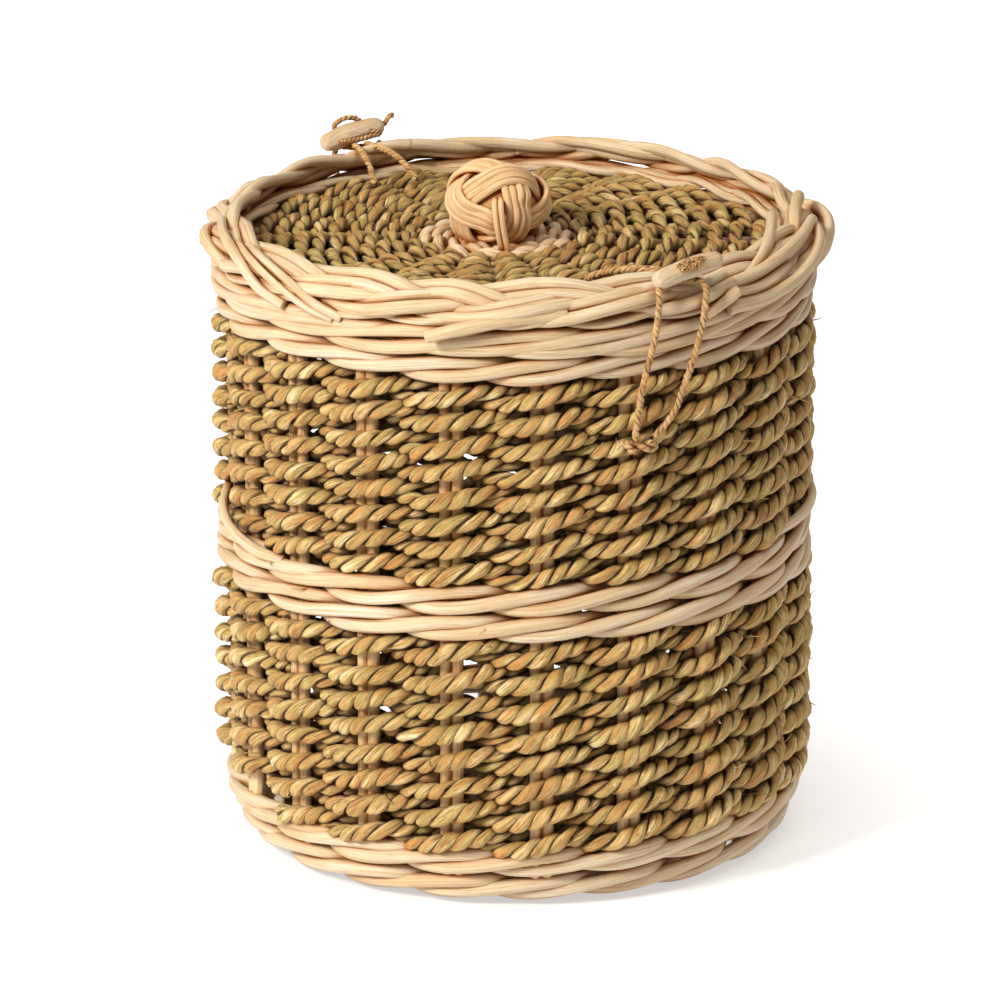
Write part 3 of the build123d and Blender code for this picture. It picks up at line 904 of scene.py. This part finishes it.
def make_knob(material):
    """Turk's-head knot of four side-by-side strips, with two ends hanging from its middle."""
    rng = np.random.default_rng(8)
    low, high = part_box("knob")
    radius = (high.x - low.x) / 2 + 0.6 * MM
    middle = np.array([(low.x + high.x) / 2, (low.y + high.y) / 2, high.z - radius * KNOB_SQUASH])
    frame_rows = knob_frame()
    squash = np.array([1, 1, KNOB_SQUASH])
    turn = np.linspace(0, 2 * math.pi, 900, endpoint=False)
    wave = KNOB_BIGHTS * turn
    around_pole = KNOB_LEADS * turn + KNOB_ROLL
    latitude = KNOB_REACH * np.cos(wave)
    over = np.sin(wave) * np.cos(KNOB_LEADS * wave)
    ball = np.stack([
        np.cos(latitude) * np.cos(around_pole),
        np.cos(latitude) * np.sin(around_pole),
        np.sin(latitude),
    ], axis=1)
    tangent = unit(np.roll(ball, -1, axis=0) - np.roll(ball, 1, axis=0))
    beside = np.cross(tangent, ball)
    weave = Weave("knob_knot")
    for strip in range(KNOB_STRIPS):
        aside = (strip - (KNOB_STRIPS - 1) / 2) * KNOB_STRIP_WIDTH
        direction = unit(ball + beside * aside / radius) @ frame_rows
        depth = radius - KNOB_STRIP_THICK / 2 - KNOB_LIFT * (1 - over)
        depth = depth + 0.22 * MM * ring_noise(rng, turn, 20)
        half = (KNOB_STRIP_THICK / 2, KNOB_STRIP_WIDTH / 2)
        path = middle + direction * column(depth) * squash
        weave.add(path, direction / squash, half, closed=True, sides=12, tone=0.2 + 0.5 * rng.random())
    for tail in (0, 1):
        route = [
            (0.02 + 0.10 * tail, 0.05, 0.70),
            (0.02 + 0.11 * tail, -0.12, 0.99),
            (0.07 + 0.11 * tail, -0.50, 0.94),
            (0.14 + 0.12 * tail, -0.86 - 0.05 * tail, 0.72),
        ]
        path = smooth_curve([middle + (np.array(point) @ frame_rows) * radius for point in route])
        weave.add(path, path - middle, (0.9 * MM, 1.1 * MM), sides=10, tone=0.3 + 0.2 * tail)
    core = middle + np.array([0, 0, 1]) * column(np.linspace(-0.70, 0.70, 9) * radius * KNOB_SQUASH)
    girth = 0.80 * radius * np.sqrt(1 - np.linspace(-0.93, 0.93, 9) ** 2)
    weave.add(core, np.tile([1.0, 0.0, 0.0], (9, 1)), column(girth), sides=24, tone=0.9)
    weave.build(material, "lid_body", "rattan_rod", "knob", "knob_tails")


# ---- strings ------------------------------------------------------------------------
# Control points as (distance from the axis, angle, height), those of the CAD strings but
# for the top of the loop, drawn in under its toggle, and the outer ends of the rear tethers
LOOP_ROUTE = [
    (0.1136, -1.5, 0.1782), (0.1164, -0.8, 0.1990), (0.1167, 1.2, 0.2110), (0.1168, 2.2, 0.2240),
    (0.1158, 2.6, 0.2318), (0.1092, 4.2, 0.2318), (0.1092, 10.4, 0.2328), (0.1158, 12.2, 0.2328),
    (0.1168, 11.9, 0.2250), (0.1167, 10.2, 0.2095), (0.1164, 7.4, 0.1960), (0.1149, 5.8, 0.1845),
    (0.1136, 2.2, 0.1783),
]
TETHER_ROUTES = {
    "front_tether_a": [
        (0.0750, -3.5, 0.2272), (0.0810, -1.8, 0.2310), (0.0920, 2.0, 0.2343),
        (0.1000, 5.6, 0.2346), (0.1050, 8.2, 0.2339),
    ],
    "front_tether_b": [
        (0.0750, -0.9, 0.2272), (0.0810, 0.7, 0.2310), (0.0920, 4.3, 0.2343),
        (0.1000, 7.8, 0.2346), (0.1050, 10.4, 0.2339),
    ],
    "rear_tether_a": [
        (0.0790, 17.5, 0.2272), (0.0830, 16.2, 0.2308), (0.0920, 13.8, 0.2343),
        (0.1000, 12.0, 0.2346), (0.1060, 10.8, 0.2345),
    ],
    "rear_tether_b": [
        (0.0755, 5.4, 0.2272), (0.0810, 5.8, 0.2310), (0.0915, 6.7, 0.2343),
        (0.1000, 7.6, 0.2346), (0.1060, 8.1, 0.2345),
    ],
}


def spline_points(name, points):
    """Points read from a smooth NURBS spline with these control points."""
    data = bpy.data.curves.new(name, "CURVE")
    data.dimensions = "3D"
    spline = data.splines.new("NURBS")
    spline.points.add(len(points) - 1)
    for knot, point in zip(spline.points, points):
        knot.co = (*point, 1.0)
    spline.order_u = 3
    spline.use_endpoint_u = True
    spline.resolution_u = 16
    holder = bpy.data.objects.new(name, data)
    bpy.context.scene.collection.objects.link(holder)
    bpy.context.view_layer.update()
    mesh = bpy.data.meshes.new_from_object(holder)
    line = np.array([list(vertex.co) for vertex in mesh.vertices])
    bpy.data.objects.remove(holder)
    bpy.data.meshes.remove(mesh)
    bpy.data.curves.remove(data)
    return line


def even_points(line, step):
    """The same line with its points evenly spaced."""
    length = arc_length(line)
    places = np.linspace(0, length[-1], max(4, int(length[-1] / step)))
    return np.stack([np.interp(places, length, line[:, axis]) for axis in range(3)], axis=1)


def turned(points, degrees):
    """Points turned round the basket's axis."""
    angle = math.radians(degrees)
    spin = np.array([
        [math.cos(angle), -math.sin(angle), 0],
        [math.sin(angle), math.cos(angle), 0],
        [0, 0, 1],
    ])
    return np.asarray(points) @ spin.T


def string_piece(name, route, degrees, body, material):
    """Two-ply string along a route."""
    rng = np.random.default_rng(len(name))
    control = turned([list(around(*place)) for place in route], degrees)
    line = spline_points(name + "_route", control)
    path = even_points(line, 0.3 * MM)
    weave = Weave(name + "_string")
    out = carried_normals(path, unit(path[:1] * [1, 1, 0])[0])
    lay_strands(weave, rng, path, out, STRING / 2, 4.6 * MM, closed=False)
    piece = weave.build(material, body, "twisted_string", name)
    return piece


def make_strings(material):
    """The loops on the wall and the tethers on the lid."""
    for name, degrees in (("front", 0), ("rear", 180)):
        loop_body = f"{name}_loop_body"
        string_piece(f"{name}_loop", LOOP_ROUTE, degrees, loop_body, material)
        for leg in ("a", "b"):
            tether = f"{name}_tether_{leg}"
            string_piece(tether, TETHER_ROUTES[tether], degrees, "lid_body", material)


def make_loop_knots(material):
    """Tight knots that hold the loops to the wall."""
    rng = np.random.default_rng(3)
    knots = {}
    for name, degrees in (("front", 0), ("rear", 180)):
        low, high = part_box(f"{name}_loop_knot")
        middle = (low + high) / 2
        turn = np.linspace(0, 2 * math.pi, 90, endpoint=False)
        knot = np.stack([
            5.0 * MM * np.sin(turn) * (1 + 0.25 * np.cos(3 * turn)),
            1.2 * MM * np.cos(3 * turn + 0.6),
            1.3 * MM * np.sin(2 * turn),
        ], axis=1)
        path = turned(knot, degrees) + np.array(middle)
        weave = Weave(f"{name}_wall_knot")
        lay_strands(weave, rng, path, np.tile([0.0, 0.3, 1.0], (len(path), 1)), STRING * 0.48, 4.4 * MM)
        knots[name] = weave.build(material, f"{name}_loop_body", "twisted_string", f"{name}_loop_knot")
    return knots


# ---- toggles --------------------------------------------------------------------------
TOGGLE_ANGLE = 9.5
TOGGLE_LENGTH = {"front": 28.0 * MM, "rear": 26.0 * MM}
TOGGLE_RADIUS = {"front": 3.6 * MM, "rear": 3.9 * MM}
TOGGLE_LEAN = {"front": 9.0, "rear": -8.0}

# Lashing strings as (along the peg, outwards, up) in millimetres from its middle
REAR_LASHING = [
    [(7.5, -4.3, 0.2), (3, -4.5, -0.6), (-2, -4.5, -1.1), (-7, -4.3, -1.3), (-9.2, -3.9, -1.6)],
    [(5.5, 3.2, 2.2), (5.0, 2.8, 5.0), (1.0, 2.0, 6.4), (-3.0, 1.6, 5.4), (-5.0, 1.2, 3.6)],
    [(-6.2, -3.9, 0.6), (-8.6, -4.2, -0.4), (-9.8, -4.1, -1.0), (-9.6, -3.7, -1.6)],
    [(-9.6, 0.0, -0.6), (-12.6, 0.4, -0.8), (-14.8, 0.5, 0.0), (-17.6, 0.5, 2.4), (-18.8, 0.4, 2.2)],
]
TUFT_TURNS = 2.6


def peg_frame(name, degrees):
    """Rows: along the peg, outwards and up."""
    lean = math.radians(TOGGLE_LEAN[name])
    turn = math.radians(TOGGLE_ANGLE)
    along = [math.cos(turn) * math.cos(lean), math.sin(turn) * math.cos(lean), math.sin(lean)]
    outward = [math.sin(turn), -math.cos(turn), 0]
    rows = turned([along, outward], degrees)
    return np.vstack([rows, np.cross(rows[1], rows[0])])


def tuft_route(radius):
    """Flat oval coil of string on the upper front of a peg, in the peg's own frame."""
    share = np.linspace(0, 1, 110)
    spin = 2 * math.pi * TUFT_TURNS * share
    shrink = 1 - 0.62 * share
    tilt = math.radians(48)
    shrink = shrink * (1 + 0.16 * np.sin(5.3 * spin))
    side = 2.4 * MM * shrink * np.sin(spin)
    stand = np.sqrt(radius ** 2 - side ** 2) + (0.35 + 0.5 * share) * MM
    return np.stack([
        5.4 * MM * shrink * np.cos(spin),
        stand * math.cos(tilt) - side * math.sin(tilt),
        stand * math.sin(tilt) + side * math.cos(tilt),
    ], axis=1)


def make_toggles(rattan, string):
    """Rounded pegs of peeled rod, each with its lashing."""
    rng = np.random.default_rng(14)
    for name, degrees in (("front", 0), ("rear", 180)):
        low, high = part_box(f"{name}_toggle")
        middle = np.array((low + high) / 2)
        rows = peg_frame(name, degrees)
        radius = TOGGLE_RADIUS[name]
        share = np.linspace(-1, 1, 44)
        reach_out = column(share * (TOGGLE_LENGTH[name] / 2 - radius * 0.7))
        path = middle + rows[0] * reach_out + np.array([0, 0, 0.5 * MM]) * column(1 - share ** 2)
        size = radius * (1 + 0.04 * np.cos(2.2 * share) - 0.06 * share ** 2 + 0.02 * np.sin(5 * share))
        weave = Weave(f"{name}_peg")
        weave.add(path, np.tile(rows[1], (len(path), 1)), column(size), sides=20, end="round", tone=0.15)
        body = f"{name}_toggle_body"
        weave.build(rattan, body, "rattan_rod", f"{name}_toggle")

        wrap = Weave(f"{name}_peg_lashing")
        if name == "front":
            routes = [tuft_route(radius)]
        else:
            routes = [smooth_curve(np.array(points) * MM, 0.4 * MM) for points in REAR_LASHING]
        for route in routes:
            coil = middle + route @ rows
            thick = 0.62 * MM if name == "front" else 1.0 * MM
            lay_strands(wrap, rng, coil, coil - middle, thick, 3.6 * MM, closed=False)
        wrap.build(string, body, "twisted_string", f"{name}_toggle_lashing")


# ---- studio ---------------------------------------------------------------------------
FLOOR_GLOW = 0.86
FLOOR_WHITE = 0.50
FOOT_DIM = 0.60                # share of the glow left beside the foot, a painted shadow
POOL_BEHIND = 0.55             # how far behind the basket the pool of light lies
POOL_NARROW = 1.8              # its length over its width


def area_light(name, place, aim, size, power):
    """Soft square lamp aimed at a point."""
    data = bpy.data.lights.new(name, "AREA")
    data.energy = power
    data.color = (1.0, 0.975, 0.93)
    data.size = size
    lamp = bpy.data.objects.new(name, data)
    lamp.location = place
    lamp.rotation_euler = (Vector(aim) - Vector(place)).to_track_quat("-Z", "Y").to_euler()
    bpy.context.scene.collection.objects.link(lamp)


def floor_material():
    """White sheet that glows, with a painted pool of light behind the basket and a painted shadow round
    the foot.
    """
    tree = Tree("floor_white")
    place = tree.node("TexCoord", {})
    aside = (0, -POOL_BEHIND, 0)
    moved = tree.node("VectorMath", {0: place.outputs["Object"], 1: aside}, operation="ADD")
    shaped = tree.node("VectorMath", {0: moved.outputs[0], 1: (POOL_NARROW, 1, 0)}, operation="MULTIPLY")
    away = tree.node("VectorMath", {0: shaped.outputs[0]}, operation="LENGTH")
    # Painted pool of light: the glow fades away from a spot behind the basket.
    pool = tree.spread(away.outputs["Value"], 0.85, 1.15, FLOOR_GLOW, 0.1)
    from_foot = tree.node("VectorMath", {0: place.outputs["Object"]}, operation="LENGTH")
    # Painted shadow: the glow is dimmed within 0.10 to 0.18 m of the axis, round the foot.
    foot_shadow_paint = tree.spread(from_foot.outputs["Value"], 0.10, 0.18, FOOT_DIM, 1.0)
    strength = tree.add(0.0, pool, foot_shadow_paint)
    glow = tree.node("Emission", {"Color": (1, 1, 1, 1), "Strength": strength})
    matt = tree.node("BsdfDiffuse", {"Color": (FLOOR_WHITE, FLOOR_WHITE, FLOOR_WHITE, 1)})
    both = tree.node("AddShader", {0: glow.outputs[0], 1: matt.outputs[0]})
    output = tree.node("OutputMaterial", {})
    tree.tree.links.new(both.outputs[0], output.inputs["Surface"])
    return tree.material


def make_studio():
    """White sheet under and behind the basket, soft light from the left and from above."""
    mesh = bpy.data.meshes.new("floor")
    side = 12.0
    corners = [(-side, -side, 0), (side, -side, 0), (side, side, 0), (-side, side, 0)]
    mesh.from_pydata(corners, [], [(0, 1, 2, 3)])
    mesh.materials.append(floor_material())
    floor = bpy.data.objects.new("floor", mesh)
    floor.rotation_euler.z = CAMERA_AZIMUTH
    bpy.context.scene.collection.objects.link(floor)

    world = bpy.data.worlds.new("surroundings")
    world.use_nodes = True
    world.node_tree.nodes["Background"].inputs["Color"].default_value = (1.0, 0.90, 0.75, 1)
    world.node_tree.nodes["Background"].inputs["Strength"].default_value = 0.35
    bpy.context.scene.world = world
    area_light("key", (-1.86, -0.60, 1.40), (0, 0, 0.12), 0.6, 70)
    area_light("overhead", (0.35, -0.55, 2.2), (0, 0, 0.12), 1.0, 15)
    bpy.context.scene.view_settings.view_transform = "Standard"
    bpy.context.scene.view_settings.look = "None"


make_camera()
rattan = rattan_material("peeled_rattan", 1.0)
# Stake rods: the same cane painted lighter, to make up for the shade they sit in between the ropes, with
# a paler painted crevice shade.
rattan_stake_lightened = rattan_material("stake_rattan_lightened", 1.0, (1.16, 1.12, 1.0, 1), (0.88, 0.64, 0.38, 1))
rattan_knob = rattan_material("split_rattan", 0.8, (1.12, 0.98, 0.82, 1))
seagrass = seagrass_material("seagrass_rope")
# Lid ropes: the seagrass painted darker all over, painted shade that holds down the light on the lid's
# upward face.
seagrass_lid_shaded = seagrass_material("lid_seagrass_shaded", (0.79, 0.79, 0.76, 1))
string = string_material("bast_string")
knots = make_loop_knots(string)
make_strings(string)
make_wall_ropes(seagrass)
make_stakes(rattan_stake_lightened)
make_bands(rattan)
make_borders(rattan)
make_strays("lid_strays", LID_STRAYS, "lid_body", "lid_border", rattan)
make_strays("band_strays", BAND_STRAYS, "basket_body", "middle_wale_outer", rattan)
make_wisps(seagrass)
base_middle = span("base_sticks_lower")[1] + 0.6 * MM
base_edge = reach("base_weave_top")
make_panel("base", "basket_body", Vector((0, 0)), base_edge, base_middle, (rattan, seagrass), 51)
lid_middle = span("lid_sticks_lower")[1]
lid_edge = reach("lid_weave_top")
make_panel("lid", "lid_body", LID_CENTRE, lid_edge, lid_middle, (rattan, seagrass_lid_shaded), 52)
make_knob(rattan_knob)
make_toggles(rattan, string)
make_studio()
